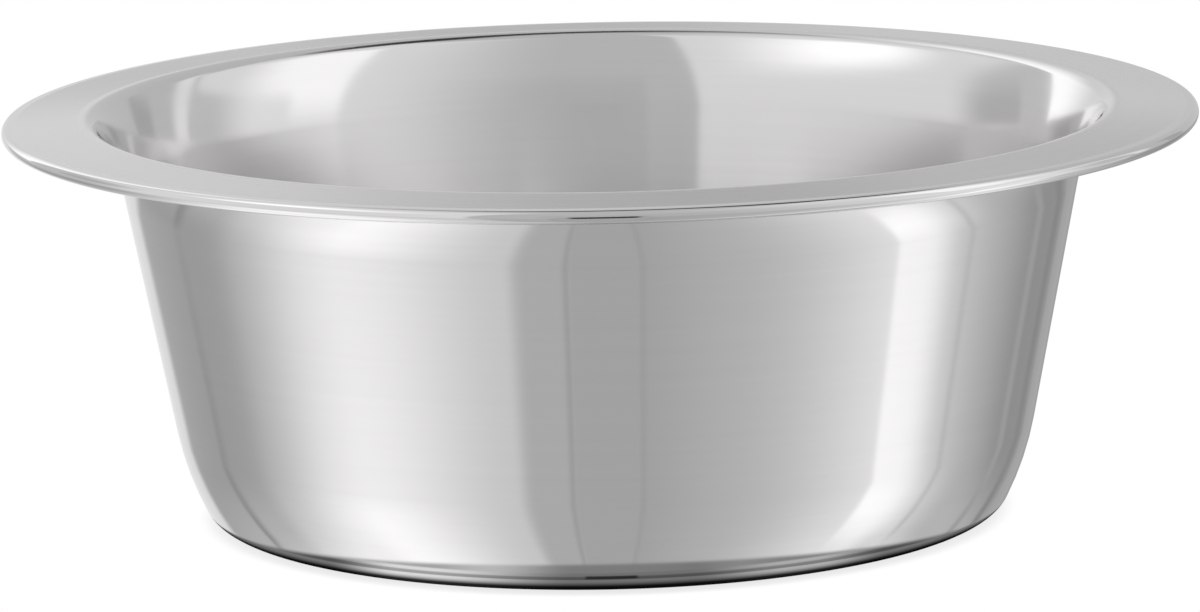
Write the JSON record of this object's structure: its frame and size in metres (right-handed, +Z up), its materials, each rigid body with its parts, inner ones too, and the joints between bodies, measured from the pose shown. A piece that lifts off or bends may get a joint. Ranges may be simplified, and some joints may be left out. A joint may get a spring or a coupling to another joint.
{
  "type": "feeding bowl",
  "caption": "Round stainless steel feeding bowl with leaning walls, a wide nearly flat flange and a rolled edge; stands on its base or hangs by its rim in a stand.",
  "frame": {"origin": "middle of the flat ring that the bowl stands on, in the standing plane", "axes": "+Z up along the bowl's axis, out of its mouth; X and Y are free, because the bowl is round"},
  "size_m": [0.28, 0.28, 0.096],
  "materials": {
    "stainless": "polished inside and out, with fine turned polishing lines and a softer, satin flange"
  },
  "bodies": {
    "root": {"bowl": "stainless"}
  },
  "joints": []
}
